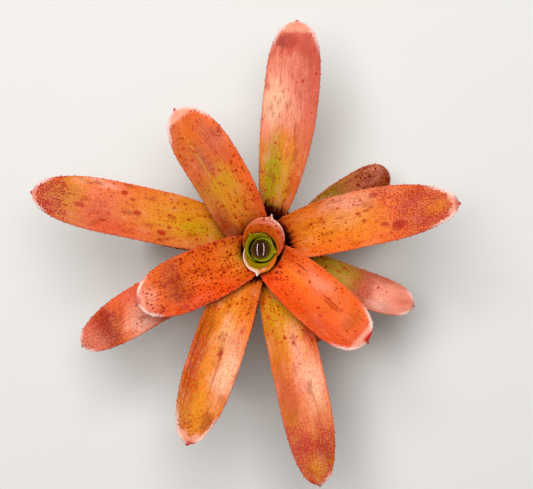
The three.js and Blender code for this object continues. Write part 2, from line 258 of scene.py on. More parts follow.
# The cup leaves are the youngest four, still rolled upright round the pool with only their ends opening.
# A leaf is one thin strap grown from the stem: a broad sheath that wraps the younger leaves, then a blade
# with a waxy skin, toothed along both edges, that ends in a short soft spine.
MID_THICKNESS = 0.85
EDGE_THICKNESS = 0.65
EDGE_ROUNDING = 0.22
EDGE_CROWDING = 0.25
SPINE_LENGTH = 3
SPINE_TIP_HALF_WIDTH = 0.4
SPINE_FOOT_HALF_WIDTH = 1.8
SPINE_TAPER = 1.5
TOOTH_SPACING = 9.5
TOOTH_HEIGHT = 0.7
TOOTH_LEAN = 0.6
TOOTH_SHOULDER = 0.45
TOOTH_THINNING = 0.6
TOOTH_ROWS = 20
TOOTH_SIZES = [1, 0.3, 0.55, 0.3]
SMALL_TOOTH_RANGE = (0.5, 1.1)
FIRST_TOOTH_ROW = {-1: 9, 1: 12}
TOOTHLESS_START_ROWS = 28
TOOTHLESS_END_ROWS = 3
CURL_LENGTH = 9
RIPPLE_HEIGHT = 0.5
RIPPLE_LENGTH = 31
TIP_LENGTH = 6.2
SHORTEST_BLADE = 5
LONGEST_BLADE = 260
HALVINGS = 30
TRACE_STEPS = 160
COLUMNS = 26
SHEATH_ROWS = 16
TIP_ROWS = 16
OUTLINE_POINTS = 400
TIP_ZONE = 40

# azimuth, reach and width place and size a leaf. Its blade leaves the tank upright, settles to the slope
# rise, droops to the slope fall and curls down at the tip. turn bends it sideways near the tank, and sweep
# along its whole length. Angles are in degrees, but a sheath goes wrap radians round the tank to each side,
# or sheath millimetres where that is less, and opens is how far out the blade is free of it. neck is the
# width at the rim, as a part of the full width, which it has at widest, a part of the way along. rounding
# and blunt shape the tip, and channel and hood are how much the blade bows up and down across.
COMMON_LEAF = dict(
    wrap=1.8, opens=30, sheath=28, settle=0.14, droop=2.5, curl=55, channel=0.008, hood=0.02,
    turn=0, sweep=0, neck=0.8, widest=0.5, rounding=0.36, blunt=2.6, toothed=True,
)
TURN_ENDS = 0.2
NECK_STARTS = 0.4
CHANNEL_COMES = (0, 0.3)
CHANNEL_GOES = (0.45, 0.8)
HOOD_COMES = (0.55, 1)
LEAST_BOW = 1e-6


def ease(value, start, end):
    """Goes smoothly from 0 at start to 1 at end."""
    part = np.clip((value - start) / (end - start), 0, 1)
    return part * part * (3 - 2 * part)


class Leaf:
    """One leaf as a surface in millimetres: s runs along its midrib from the stem, w across it."""

    def __init__(self, name, order, **shape):
        self.name = name
        self.order = order
        self.__dict__.update(COMMON_LEAF)
        self.__dict__.update(shape)
        self.sheath_radius, self.sheath_height, self.sheath_s = sheath_line(order)
        self.rim = self.sheath_s[-1]
        short, long = SHORTEST_BLADE, LONGEST_BLADE
        for _ in range(HALVINGS):
            length = (short + long) / 2
            if math.hypot(*self.trace(length)[-1][:2]) < self.reach:
                short = length
            else:
                long = length
        self.line = self.trace(long)
        self.length = long
        self.total = self.rim + long

    def trace(self, length):
        """The blade's middle line: place, slope and heading at even steps."""
        t = np.linspace(0, 1, TRACE_STEPS + 1)
        settling = (90 - self.rise) * np.exp(-t / self.settle)
        drooping = (self.fall - self.rise) * t ** self.droop
        curling = self.curl * ease(t, 1 - CURL_LENGTH / length, 1)
        slope = np.radians(self.rise + settling + drooping - curling)
        heading = np.radians(self.azimuth + self.sweep * t + self.turn * ease(t, 0, TURN_ENDS))
        a, h = (slope[1:] + slope[:-1]) / 2, (heading[1:] + heading[:-1]) / 2
        steps = np.stack([np.cos(a) * np.cos(h), np.cos(a) * np.sin(h), np.sin(a)], 1) * length / TRACE_STEPS
        azimuth = math.radians(self.azimuth)
        start = np.array([
            self.sheath_radius[-1] * math.cos(azimuth),
            self.sheath_radius[-1] * math.sin(azimuth),
            self.sheath_height[-1],
        ])
        places = start + np.concatenate([[[0, 0, 0]], np.cumsum(steps, 0)])
        return np.concatenate([places, slope[:, None], heading[:, None]], 1)

    def half_width(self, s):
        widest = self.width / 2
        radius = np.interp(s, self.sheath_s, self.sheath_radius)
        sheath = np.minimum(self.sheath, self.wrap * radius)
        rolled = sheath + (self.neck * widest - sheath) * ease(s / self.rim, NECK_STARTS, 1)
        t = (s - self.rim) / self.length
        swell = self.neck + (1 - self.neck) * np.sin(np.pi / 2 * np.clip(t / self.widest, 0, 1))
        body_end = self.total - SPINE_LENGTH
        rounded = self.rounding * self.length
        into = np.clip((s - body_end + rounded) / rounded, 0, 1)
        body = widest * swell * np.sqrt(1 - into ** self.blunt)
        along_spine = np.maximum(0, self.total - s) / SPINE_LENGTH
        flare = (SPINE_FOOT_HALF_WIDTH - SPINE_TIP_HALF_WIDTH) * along_spine ** SPINE_TAPER
        spine = np.minimum(SPINE_TIP_HALF_WIDTH + flare, 3 * SPINE_FOOT_HALF_WIDTH)
        near_tip = s > body_end - 2 * SPINE_LENGTH
        return np.where(s < self.rim, rolled, np.where(near_tip, np.maximum(body, spine), body))

    def point(self, s, w):
        """Near the tank the leaf wraps the axis; further out it is a channel that arches at its end."""
        radius = np.interp(s, self.sheath_s, self.sheath_radius)
        around = math.radians(self.azimuth) + w / radius
        height = np.interp(s, self.sheath_s, self.sheath_height)
        rolled = np.stack([radius * np.cos(around), radius * np.sin(around), height], -1)
        t = np.clip((s - self.rim) / self.length, 0, 1)
        even = np.linspace(0, 1, TRACE_STEPS + 1)
        x, y, z, slope, heading = [np.interp(t, even, column) for column in self.line.T]
        radius = np.hypot(x, y)
        swing = w / radius
        wrapped = np.stack([
            x * np.cos(swing) - y * np.sin(swing), x * np.sin(swing) + y * np.cos(swing), z,
        ], -1)
        across = np.stack([-np.sin(heading), np.cos(heading), 0 * heading], -1)
        up = np.stack([
            -np.sin(slope) * np.cos(heading), -np.sin(slope) * np.sin(heading), np.cos(slope),
        ], -1)
        channel = self.channel * ease(t, *CHANNEL_COMES) * (1 - ease(t, *CHANNEL_GOES))
        bow = np.maximum(0, np.sin(slope)) / radius + channel - self.hood * ease(t, *HOOD_COMES) + LEAST_BOW
        free = ease(s - self.rim, 0, self.opens)
        ripple = RIPPLE_HEIGHT * free * (w / (self.width / 2)) ** 2
        ripple = ripple * np.sin(2 * np.pi * s / RIPPLE_LENGTH + self.order + np.sign(w))
        raised = (1 - np.cos(bow * w)) / bow + ripple
        middle = np.stack([x, y, z], -1)
        arched = middle + across * (np.sin(bow * w) / bow)[..., None] + up * raised[..., None]
        blade = wrapped + (arched - wrapped) * free[..., None]
        return np.where((s <= self.rim)[..., None], rolled, blade)

    def from_outline(self, s, w):
        """How far points are from the leaf's outline, measured flat, for colours that follow the edge."""
        distance = self.half_width(s) - np.abs(w)
        near_tip = np.nonzero(self.total - s < TIP_ZONE)[0]
        outline = np.linspace(self.rim, self.total, OUTLINE_POINTS)
        aside = np.abs(w[near_tip, None]) - self.half_width(outline)
        gap = np.hypot(s[near_tip, None] - outline, aside)
        distance[near_tip] = np.minimum(distance[near_tip], gap.min(1))
        return distance


def leaf_rows(leaf):
    """The places of the rows along a leaf, and for each row how far the teeth of both edges stand out."""
    last = leaf.total - TIP_LENGTH
    strips = max(2, round((last - leaf.rim) / TOOTH_SPACING))
    rows = np.concatenate([
        np.linspace(0, leaf.rim, SHEATH_ROWS, endpoint=False),
        np.linspace(leaf.rim, last, strips * TOOTH_ROWS, endpoint=False),
        np.linspace(last, leaf.total, TIP_ROWS + 1),
    ])
    teeth = {side: np.zeros(len(rows)) for side in FIRST_TOOTH_ROW}
    random = np.random.default_rng(leaf.order)
    if leaf.toothed:
        for side, first in FIRST_TOOTH_ROW.items():
            for k in range(TOOTHLESS_START_ROWS, strips * TOOTH_ROWS - TOOTHLESS_END_ROWS):
                nth, rest = divmod(k - first, TOOTH_ROWS // len(TOOTH_SIZES))
                if rest == 0:
                    size = TOOTH_SIZES[nth % len(TOOTH_SIZES)]
                    if size < 1:
                        size *= random.uniform(*SMALL_TOOTH_RANGE)
                    row = SHEATH_ROWS + k
                    teeth[side][row] = size
                    teeth[side][[row - 1, row + 1]] = size * TOOTH_SHOULDER
    return rows, teeth


def thicken(bm, thickness):
    """Closes the upper face to a leaf so many millimetres thick at each point, with a rounded edge."""
    under = bm.verts.layers.float.new("leaf_under")
    bm.normal_update()
    inward = [vert.normal.copy() for vert in bm.verts]
    copies = bmesh.ops.extrude_face_region(bm, geom=bm.faces[:])["geom"]
    lower = [item for item in copies if isinstance(item, bmesh.types.BMVert)]
    for vert, normal, depth in zip(lower, inward, thickness):
        vert.co -= normal * depth * MM
        vert[under] = 1
    wall = [edge for edge in bm.edges if edge.verts[0][under] != edge.verts[1][under]]
    middles = bmesh.ops.subdivide_edges(bm, edges=wall, cuts=1)["geom_inner"]
    bmesh.ops.recalc_face_normals(bm, faces=bm.faces)
    for item in middles:
        if isinstance(item, bmesh.types.BMVert):
            item.co += item.normal * EDGE_ROUNDING * MM


def leaf_mesh(leaf):
    """A leaf's finished bmesh in metres, with what its material reads stored on its points."""
    rows, teeth = leaf_rows(leaf)
    bm = bmesh.new()
    bmesh.ops.create_grid(bm, x_segments=COLUMNS, y_segments=len(rows) - 1, size=1)
    grid = np.array([vert.co for vert in bm.verts])
    row = np.rint((grid[:, 1] + 1) / 2 * (len(rows) - 1)).astype(int)
    side = EDGE_CROWDING * grid[:, 0] ** 3 - (1 + EDGE_CROWDING) * grid[:, 0]
    tooth = np.where(side < 0, teeth[-1][row], teeth[1][row]) * np.isclose(np.abs(grid[:, 0]), 1)
    s = rows[row]
    w = side * leaf.half_width(s)
    place = leaf.point(s + TOOTH_LEAN * tooth, w + np.sign(side) * TOOTH_HEIGHT * tooth)
    layers = bm.verts.layers
    stored = [
        (layers.float_vector.new("leaf_place"), np.stack([w, s - leaf.rim, leaf.total - s], 1)),
        (layers.float.new("leaf_side"), side),
        (layers.float.new("leaf_margin"), leaf.from_outline(s, w)),
    ]
    for k, vert in enumerate(bm.verts):
        vert.co = place[k] * MM
        for layer, values in stored:
            vert[layer] = values[k]
    thickness = MID_THICKNESS + (EDGE_THICKNESS - MID_THICKNESS) * side ** 2
    thicken(bm, thickness * (1 - TOOTH_THINNING * tooth))
    return bm


# The plant's own colours, from the green of the sheaths to the reds of blades that ripened in the sun.
# Peach, cream and blush also serve as painted highlights, and wine as painted shade at the leaf bases.
LEAF_COLOURS = dict(
    green="#74860a", lime="#a8a406", olive="#8c6c06", gold="#d89c18", amber="#ec8a24", orange="#e6621a",
    flame="#e63c08", coral="#f46426", salmon="#ec7c58", peach="#fcae90", rose="#c85242", pink="#f08c74",
    brown="#9c3604", maroon="#740c04", wine="#4e0a08", crimson="#a81410", blush="#ffdcd0", scurf="#b8ac98",
    spot="#9c1a08", ember="#b82a0c", clay="#b4583c", mauve="#a45c48", shell="#fc9c84", cream="#ffd0a4",
    cherry="#d0241c",
)

# The skin's patterns, each with its width across the leaf and its length along it in millimetres, and its
# detail. Streaks and dashes follow the veins, clouds and drifts are broad changes of pigment, rings are fine
# lines across a cup leaf, and the skin's cells are drawn 0.5 mm wide, so that they show.
SKIN_PATTERNS = dict(
    streak=(1.5, 40, 3), dash=(0.9, 9, 3), fleck=(0.8, 1.8, 3), mottle=(1.0, 1.4, 3), cloud=(10, 13, 2),
    drift=(6, 17, 3), ring=(14, 0.9, 2), scurf=(30, 3.5, 4), vein=(1.1, 60, 1), cell=(0.5, 0.5, 2),
)
LEAF_SHIFT = 170
CLOUD_PUSH = (0.1, 0.6)
STREAK_PUSH = (0.16, 0)
# What each skin colour follows, and between which two of its values the colour comes in. Those of the end,
# hem and spine are millimetres from the tip or the edge.
SKIN_FADES = dict(
    left=("uneven_side", 0.1, 0.88), right=("uneven_side", -0.1, -0.88), streak=("streak", 0.5, 0.7),
    flush=("drift", 0.46, 0.3), bloom=("drift", 0.53, 0.7), light_fleck=("fleck", 0.48, 0.36),
    dark_fleck=("fleck", 0.5, 0.62), dash=("dash", 0.54, 0.68), ring=("ring", 0.5, 0.62),
    end=("to_tip", 26, 14), hem=("margin", 1.1, 0.2), spine=("to_tip", 3.4, 2.2),
)
# Values of side between which a mask of the right side, of both sides or of the left side comes in
ONE_SIDE = {-1: (0.4, -0.2), 0: (-3, -2), 1: (-0.4, 0.2)}
TIP_WAVER = 6
BARE_LEVEL = 0.8
GRAIN_LEVEL = 0.62
GRAIN_LEVEL_STEP = 0.1
GRAIN_EDGE = 0.05
CLEAR_EDGE = (-0.06, -0.13)
SMALL_SPOTS = dict(spacing=2.2, smallest=0.3, largest=0.65)
LARGE_SPOTS = dict(spacing=4.5, smallest=0.5, largest=1.0)
SPOT_EDGE = 0.12
SPOT_STRETCH = 0.8
BLOTCH_BREADTH = 0.06

# How a leaf is coloured where its own look says nothing else. A pair is a colour and how much it covers.
# Places run from 0 at the rim of the tank to 1 at the tip, and from -1 at the right edge to 1 at the left
# one, seen towards the tip. A leaf's along gives its ground colours by place, and its spots are the shares
# of spots at the rim and at spread. heart is where the dark base, painted shade where the leaf goes down
# into the tank, ends, ripe where the mottled end begins, and grains how thick the mottle is. cap, fold and
# lip_length are millimetres of pale or red edge at the tip, pale and lip how strong they are, and their
# sides are as in ONE_SIDE. The pale edge is partly the tip's own colour and partly a painted highlight on
# its fold. wander is how far colours stray. A patch is a colour, its place along and across, its length,
# its breadth and how much it covers.
COMMON_LOOK = dict(
    flush=("brown", 0.55), bloom=("peach", 0.2), light_fleck=("amber", 0.6), dark_fleck=("flame", 0.65),
    dash=("maroon", 0.35), ring=("brown", 0), heart=0.1, ripe=0.6, grains=0.3, mottle=("maroon", 0.95),
    clear=("gold", 0), spot="ember", spread=0.8, end=("rose", 0), cap=9, fold=4, pale=0.85, cap_side=0,
    lip=0.85, lip_length=6, lip_side=0, hem=("rose", 0.35), spine=("rose", 1), wander=1, patches=[],
)


def leaf_places(tree, leaf, wander):
    """By name, where on its leaf a point lies, and the patterns of the skin there."""
    stored = {
        name: add_node(tree, "Attribute", attribute_name="leaf_" + name).outputs
        for name in ("place", "side", "margin", "under")
    }
    at = {name: stored[name]["Fac"] for name in ("side", "margin", "under")}
    apart = add_node(tree, "SeparateXYZ", {0: stored["place"]["Vector"]}).outputs
    at["to_tip"] = apart["Z"]
    flat = add_node(tree, "CombineXYZ", {0: apart["X"], 1: apart["Y"]})
    own = (LEAF_SHIFT * leaf.order, 0, 0)
    at["skin"] = add_node(tree, "VectorMath", {0: flat, 1: own}, operation="ADD")
    pushes = {}
    for name, (across, along, detail) in SKIN_PATTERNS.items():
        scale = (1 / across, 1 / along, 1)
        scaled = add_node(tree, "VectorMath", {0: at["skin"], 1: scale}, operation="MULTIPLY")
        pattern = add_node(tree, "TexNoise", {"Vector": scaled, "Scale": 1, "Detail": detail}).outputs
        at[name], pushes[name] = pattern[0], pattern["Color"]

    # Clouds and streaks push the places about, so that no colour ends in a straight line
    part = add_node(tree, "Math", {0: apart["Y"], 1: leaf.length}, operation="DIVIDE")
    at["even"] = at["uneven"] = add_node(tree, "CombineXYZ", {0: part, 1: at["side"]})
    for name, (along, across), much in (("cloud", CLOUD_PUSH, wander), ("streak", STREAK_PUSH, 1)):
        push = add_node(tree, "VectorMath", {
            0: pushes[name],
            1: (along * much, across * much, 0),
            2: (-along * much / 2, -across * much / 2, 0),
        }, operation="MULTIPLY_ADD")
        at["uneven"] = add_node(tree, "VectorMath", {0: at["uneven"], 1: push}, operation="ADD")
    parts = add_node(tree, "SeparateXYZ", {0: at["uneven"]}).outputs
    at["progress"], at["uneven_side"] = parts["X"], parts["Y"]
    return at


def skin_masks(tree, at, look):
    """Masks by name of all that follows a pattern or a place on the leaf."""
    wavering = {0: at["mottle"], 1: TIP_WAVER, 2: -TIP_WAVER / 2}
    waver = add_node(tree, "Math", wavering, operation="MULTIPLY_ADD")
    from_edge = add_node(tree, "Math", {0: at["margin"], 1: waver}, operation="ADD")
    from_tip = add_node(tree, "Math", {0: at["to_tip"], 1: waver}, operation="ADD")
    heart, ripe, cap, fold, pale = [look[name] for name in ("heart", "ripe", "cap", "fold", "pale")]
    lip = look["lip_length"]
    fades = {name: (at[base], start, end, look[name][1]) for name, (base, start, end) in SKIN_FADES.items()}
    fades.update(
        # The heart is painted shade at the leaf's base, and the cap and rim are the pale tip, partly its own
        # colour and partly a painted highlight
        heart=(at["progress"], heart + 0.05, heart - 0.03, 1),
        outer=(at["progress"], ripe - 0.1, ripe + 0.12, 1),
        cap=(from_tip, cap + 1.5, cap - 1.5, pale),
        fold=(from_edge, fold + 1, fold - 1, 1),
        cap_side=(at["side"], *ONE_SIDE[look["cap_side"]], 1),
        cap_streaks=(at["dash"], 0.42, 0.58, 0.6),
        near_end=(at["to_tip"], cap * 2.6, cap * 1.3, pale),
        rim=(from_edge, 2.6, 0.6, 0.95),
        lip=(from_tip, lip + 1, lip - 1, look["lip"]),
        lip_side=(at["side"], *ONE_SIDE[look["lip_side"]], 1),
        below=(at["under"], 0.3, 0.7, 1),
    )
    masks = {}
    for name, (value, start, end, most) in fades.items():
        masks[name] = add_node(tree, "MapRange", {
            "Value": value, "From Min": start, "From Max": end, "To Max": most,
        }, interpolation_type="SMOOTHSTEP")
    for name, one, other in (
        ("rounded_cap", "fold", "cap"), ("pale_cap", "rounded_cap", "cap_side"),
        ("pink_streaks", "pale_cap", "cap_streaks"), ("end_rim", "rim", "near_end"),
        ("pale_rim", "end_rim", "cap_side"), ("red_lip", "lip", "lip_side"),
    ):
        masks[name] = add_node(tree, "Math", {0: masks[one], 1: masks[other]}, operation="MULTIPLY")
    return masks


def mottle_masks(tree, at, outer, look):
    """Masks of the mottle's dark grains, which gather in the leaf's outer part, and of the skin between."""
    level = add_node(tree, "MapRange", {
        "Value": outer, "To Min": BARE_LEVEL, "To Max": GRAIN_LEVEL - GRAIN_LEVEL_STEP * look["grains"],
    })
    gathered = add_node(tree, "Math", {0: at["cloud"], 1: 0.3}, operation="MULTIPLY")
    grainy = add_node(tree, "Math", {0: at["mottle"], 1: 0.75, 2: gathered}, operation="MULTIPLY_ADD")
    above = add_node(tree, "Math", {0: grainy, 1: level}, operation="SUBTRACT")
    grains = add_node(tree, "MapRange", {
        "Value": above, "From Min": -GRAIN_EDGE, "From Max": GRAIN_EDGE, "To Max": look["mottle"][1],
    }, interpolation_type="SMOOTHSTEP")
    between = add_node(tree, "MapRange", {
        "Value": above, "From Min": CLEAR_EDGE[0], "From Max": CLEAR_EDGE[1], "To Max": look["clear"][1],
    }, interpolation_type="SMOOTHSTEP")
    clear = add_node(tree, "Math", {0: between, 1: outer}, operation="MULTIPLY")
    return dict(mottle=grains, clear=clear)


def spots(tree, place, share, spacing, smallest, largest):
    """A mask of round pigment spots with radii in millimetres. share is the part of places that have one."""
    scale = (1 / spacing, SPOT_STRETCH / spacing, 0)
    cells = add_node(tree, "VectorMath", {0: place, 1: scale}, operation="MULTIPLY")
    nearest = add_node(tree, "TexVoronoi", {"Vector": cells, "Scale": 1}, voronoi_dimensions="2D")
    chance = add_node(tree, "SeparateColor", {0: nearest.outputs["Color"]}).outputs
    radius = add_node(tree, "MapRange", {
        "Value": chance[1], "To Min": smallest / spacing, "To Max": largest / spacing,
    })
    outside = add_node(tree, "Math", {0: nearest, 1: radius}, operation="SUBTRACT")
    disc = add_node(tree, "MapRange", {"Value": outside, "From Min": SPOT_EDGE, "From Max": -SPOT_EDGE})
    present = add_node(tree, "Math", {0: chance[0], 1: share}, operation="LESS_THAN")
    return add_node(tree, "Math", {0: disc, 1: present}, operation="MULTIPLY")


def spot_masks(tree, at, look):
    """Masks of the small and the large spots, which crowd together in drifts."""
    near, far = look["spots"]
    share = add_node(tree, "MapRange", {
        "Value": at["progress"], "From Max": look["spread"], "To Min": near, "To Max": far,
    })
    crowding = add_node(tree, "MapRange", {
        "Value": at["drift"], "From Min": 0.38, "From Max": 0.62, "To Min": 1.7, "To Max": 0.2,
    })
    share = add_node(tree, "Math", {0: share, 1: crowding}, operation="MULTIPLY")
    return [spots(tree, at["skin"], share, **size) for size in (LARGE_SPOTS, SMALL_SPOTS)]


def patch_layers(tree, at, patches):
    """Masks and colours of patches: broad clouds, which fade out, and narrow blotches with torn edges."""
    clouds, blotches = [], []
    for name, start, across, length, breadth, most in patches:
        if min(length, breadth) < BLOTCH_BREADTH:
            found, place, ragged, edge, full = blotches, at["even"], 1.6, 1.9, 1.4
        else:
            found, place, ragged, edge, full = clouds, at["uneven"], 0, 1.2, 0.1
        centred = add_node(tree, "VectorMath", {
            0: place, 1: (1 / length, 1 / breadth, 0), 2: (-start / length, -across / breadth, 0),
        }, operation="MULTIPLY_ADD")
        away = add_node(tree, "VectorMath", {0: centred}, operation="LENGTH").outputs["Value"]
        torn = add_node(tree, "Math", {0: at["mottle"], 1: ragged, 2: away}, operation="MULTIPLY_ADD")
        mask = add_node(tree, "MapRange", {
            "Value": torn, "From Min": edge, "From Max": full, "To Max": most,
        }, interpolation_type="SMOOTHSTEP")
        found.append((mask, name))
    return clouds, blotches


def painted(tree, colour, layers):
    """A colour with others laid over it, each through its mask."""
    for mask, name in layers:
        over = {0: mask, 6: colour, 7: linear(LEAF_COLOURS[name])}
        colour = add_node(tree, "Mix", over, data_type="RGBA").outputs[2]
    return colour


def upper_colour(tree, at, masks, look):
    """The ground colours along the leaf, and over them the pigments, from the deepest to the outermost, with
    painted highlights and painted shade among them.
    """
    stops = [(start, LEAF_COLOURS[name]) for start, name in look["along"]]
    colour = add_node(tree, "ValToRGB", {0: at["progress"]}, stops=stops)
    masks = {**masks, **mottle_masks(tree, at, masks["outer"], look)}
    large_spots, small_spots = spot_masks(tree, at, look)
    clouds, blotches = patch_layers(tree, at, look["patches"])
    own = {name: (masks[name], look[name][0]) for name in (*SKIN_FADES, "mottle", "clear")}
    return painted(tree, colour, [
        # Some of the clouds and blotches are painted highlights and painted shade, as each leaf's table says
        own["left"], own["right"], own["streak"], *clouds, own["flush"], own["bloom"], own["light_fleck"],
        own["dark_fleck"], own["dash"], own["ring"], own["clear"], own["mottle"], *blotches, own["end"],
        # The wine over the heart is painted shade where the leaf goes down into the tank
        (large_spots, look["spot"]), (small_spots, look["spot"]), (masks["heart"], "wine"), own["hem"],
        # The peach cap and blush rim are partly the tip's own pale colour and partly a painted highlight on
        # its fold
        (masks["pale_cap"], "peach"), (masks["pink_streaks"], "pink"), (masks["pale_rim"], "blush"),
        (masks["red_lip"], "cherry"), own["spine"],
    ])


# A bromeliad leaf's living skin: waxy and faintly grooved by its veins, so it shines softly along its
# length. Red pigment lies in spots near the tank and gathers as a mottle near the tip. The tip is pale,
# partly with its own colour and partly with a painted highlight where it folds down, and the base is
# darkened with painted shade where it goes down into the tank.
def leaf_material(leaf, look):
    material, tree, shader = new_material(leaf.name + "_waxy_skin", IOR=1.45, Specular_IOR_Level=0.06)
    at = leaf_places(tree, leaf, look["wander"])
    masks = skin_masks(tree, at, look)
    upper = upper_colour(tree, at, masks, look)

    # The lower face is duller, and grey scurf lies on it in cross bands about 7 mm apart
    bands = {"Value": at["scurf"], "From Min": 0.42, "From Max": 0.62, "To Max": 0.38}
    scurf = add_node(tree, "MapRange", bands)
    lower = painted(tree, upper, [(0.45, "olive"), (scurf, "scurf")])
    colour = add_node(tree, "Mix", {0: masks["below"], 6: upper, 7: lower}, data_type="RGBA").outputs[2]
    tree.links.new(colour, shader.inputs["Base Color"])
    polish = add_node(tree, "MapRange", {
        "Value": at["streak"], "From Min": 0.3, "From Max": 0.7, "To Min": 0.24, "To Max": 0.34,
    })
    tree.links.new(polish.outputs[0], shader.inputs["Roughness"])

    # Veins stand 0.06 mm proud, with the finer grain of the skin's cells over them
    height = add_node(tree, "Math", {0: at["cell"], 1: 0.2, 2: at["vein"]}, operation="MULTIPLY_ADD")
    relief = add_node(tree, "Bump", {"Height": height, "Strength": 0.4, "Distance": 0.15 * MM})
    tree.links.new(relief.outputs[0], shader.inputs["Normal"])
    return material


def grow(group, first, leaves, shape, look):
    """Makes the leaves of a group, each a pair of its own shape and look, from the heart outwards."""
    for k, (own_shape, own_look) in enumerate(leaves):
        leaf = Leaf(f"{group}_{k + 1}", first + k, **{**shape, **own_shape})
        material = leaf_material(leaf, {**COMMON_LOOK, **look, **own_look})
        finish_piece(leaf_mesh(leaf), leaf.name + "_blade", material, leaf.name)


CUP_LEAF = dict(wrap=2.4, opens=80, curl=0, neck=1, rounding=0.9, blunt=2.2, toothed=False)
CUP_LOOK = dict(
    along=[(0, "green"), (1, "lime")],
    left=("lime", 0.3), right=("lime", 0.3), streak=("green", 0.5), flush=("brown", 0), bloom=("peach", 0),
    light_fleck=("lime", 0.6), dark_fleck=("green", 0.65), dash=("maroon", 0.1), ring=("brown", 0.5),
    heart=-2, grains=0, spots=(0.15, 0.1), cap=3, pale=0, lip=0, hem=("rose", 0), spine=("rose", 0),
    wander=0.3,
)
CUP_LEAVES = [
    (dict(azimuth=350, reach=11, width=32, rise=48, fall=44, settle=0.3, wrap=2.9, sheath=21), dict()),
    (dict(azimuth=125, reach=13.5, width=37, rise=44, fall=40, settle=0.2, wrap=2.9, sheath=25), dict()),
    (dict(azimuth=263, reach=18.5, width=35, rise=47, fall=32, settle=0.22, sheath=24), dict(
        along=[(0, "lime"), (0.5, "olive"), (0.66, "lime"), (0.78, "gold"), (0.84, "blush"), (1, "blush")],
        left=("olive", 0.3), right=("gold", 0.5), light_fleck=("lime", 0.3), dark_fleck=("green", 0.15),
        cap=5, fold=3, pale=0.8, cap_side=-1,
        patches=[
            ("coral", 0.5, 0.75, 0.3, 0.4, 1), ("coral", 0.75, 0.5, 0.2, 0.4, 1),
            ("peach", 0.62, 0.3, 0.14, 0.2, 0.8), ("cherry", 0.6, 0.15, 0.055, 0.12, 1),
        ],
    )),
    (dict(azimuth=72, reach=25.5, width=41, rise=44, fall=20, settle=0.15, sheath=25), dict(
        along=[(0, "lime"), (0.1, "gold"), (0.2, "orange"), (0.5, "orange"), (0.75, "shell"), (1, "blush")],
        left=("orange", 0.4), right=("coral", 0.4), streak=("amber", 0.3), light_fleck=("gold", 0.4),
        dark_fleck=("orange", 0.25), spots=(0.6, 0.5), cap=4, fold=1.5, pale=0.3, cap_side=-1,
        # The two blush patches near the tip are painted highlights on its edge
        patches=[
            ("rose", 0.5, -0.85, 0.35, 0.4, 0.9), ("shell", 0.82, -0.2, 0.2, 0.6, 1),
            ("rose", 0.85, 0.1, 0.055, 0.3, 0.6), ("blush", 0.9, -0.5, 0.055, 0.2, 1),
            ("blush", 0.8, -0.85, 0.055, 0.12, 0.9),
        ],
    )),
]
grow("cup_leaf", 0, CUP_LEAVES, CUP_LEAF, CUP_LOOK)

